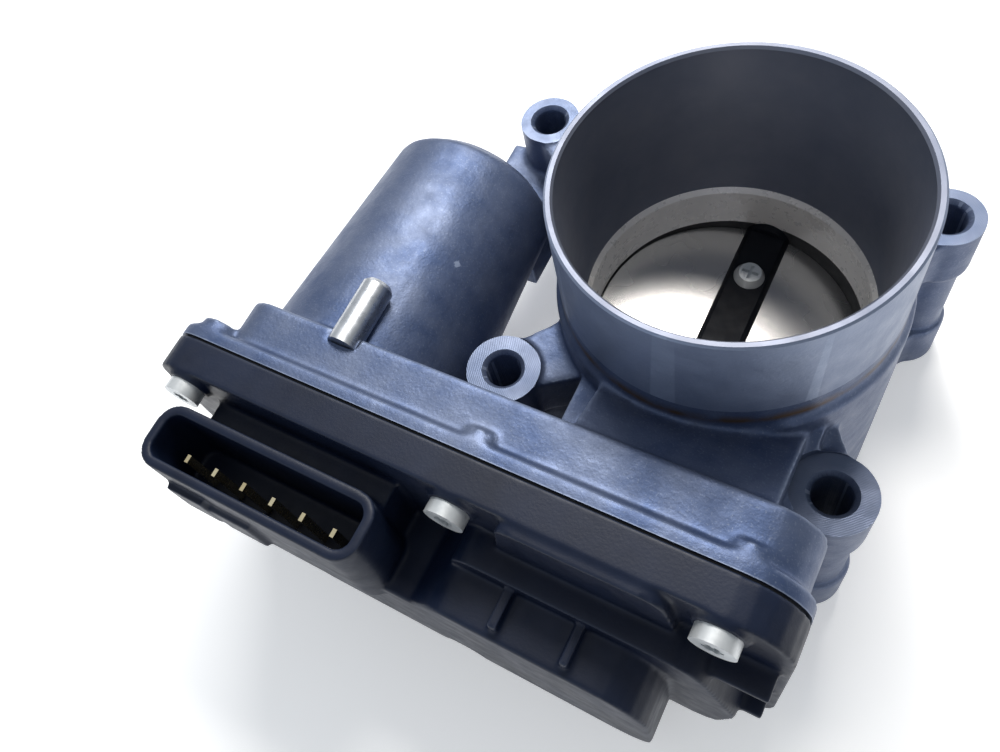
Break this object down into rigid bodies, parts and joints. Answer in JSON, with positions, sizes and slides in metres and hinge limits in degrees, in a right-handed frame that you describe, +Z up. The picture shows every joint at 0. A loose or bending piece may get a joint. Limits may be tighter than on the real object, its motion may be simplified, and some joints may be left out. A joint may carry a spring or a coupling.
{
  "type": "throttle body",
  "caption": "Motor-driven throttle body: cast housing with inlet tube, round throttle plate on a cross shaft, side motor, reduction gears under a black cover and a harness connector.",
  "frame": {"origin": "throttle bore axis on the engine flange face", "axes": "+Z up the bore towards the air inlet, +X along the gear case away from the motor, +Y along the throttle shaft away from the gear cover"},
  "size_m": [0.128, 0.1205, 0.0795],
  "materials": {
    "casting": "as-cast satin, machined faces brighter",
    "coat": "matt sealing coat",
    "seal": "matt",
    "steel": "ground",
    "zinc_screw": "zinc plated",
    "spring_steel": "oiled",
    "black_shaft": "matt black coating",
    "plate_metal": "warm satin",
    "gear_black": "satin moulded",
    "gear_natural": "satin moulded",
    "insert": "stamped",
    "magnet": "sintered",
    "can": "drawn sheet",
    "bronze": "sintered bronze",
    "carrier": "moulded",
    "carbon": "pressed carbon",
    "contact": "tinned and gold flashed",
    "copper": "enamelled wire",
    "lamination": "stacked sheet",
    "cover": "satin black moulded",
    "gasket": "matt",
    "sensor": "moulded"
  },
  "bodies": {
    "housing": {"body_casting": "casting", "bore_seal_coat": "coat", "flange_seal": "seal", "stub_pin": "steel", "end_plug": "steel", "stop_screw": "zinc_screw", "front_bearing_outer_race": "steel", "front_bearing_balls": "steel", "rear_needle_cup": "steel", "rear_needles": "steel", "front_shaft_seal": "seal", "rear_shaft_seal": "seal", "spring_guide": "carrier", "return_spring": "spring_steel", "idler_pin": "steel", "motor_can": "can", "motor_magnets": "magnet", "motor_rear_bush": "bronze", "motor_wave_washer": "spring_steel", "motor_end_plate": "can", "motor_front_bush": "bronze", "brush_holder": "carrier", "motor_brushes": "carbon", "motor_terminals": "contact", "motor_screws": "zinc_screw", "gear_cover": "cover", "cover_gasket": "gasket", "cover_screws": "zinc_screw", "connector_terminals": "contact", "lead_frame": "contact", "position_sensor": "sensor"},
    "throttle": {"throttle_shaft": "black_shaft", "throttle_plate": "plate_metal", "plate_screws": "zinc_screw", "front_bearing_inner_race": "steel", "sector_gear": "gear_black", "sector_insert": "insert", "sensor_magnets": "magnet"},
    "idler": {"idler_gear": "gear_natural"},
    "rotor": {"motor_shaft": "steel", "armature_stack": "lamination", "armature_windings": "copper", "commutator": "copper", "motor_pinion": "bronze"}
  },
  "joints": [
    {"name": "throttle_hinge", "type": "hinge", "parent": "housing", "child": "throttle", "pos_m": [0, 0, 0.03], "axis": [0, 1, 0], "range_deg": [-5, 79], "stiffness_Nm_per_rad": 0.05},
    {"name": "idler_spin", "type": "hinge", "parent": "housing", "child": "idler", "pos_m": [-0.03549, -0.048, 0.02936], "axis": [0, 1, 0], "range_deg": [-178, 13]},
    {"name": "rotor_spin", "type": "hinge", "parent": "housing", "child": "rotor", "pos_m": [-0.062, -0.015, 0.0345], "axis": [0, 1, 0], "range_deg": [-38, 580]}
  ],
  "couplings": [
    {"joint": "idler_spin", "follows": "throttle_hinge", "ratio": -2.2273},
    {"joint": "rotor_spin", "follows": "throttle_hinge", "ratio": 7.3182}
  ]
}
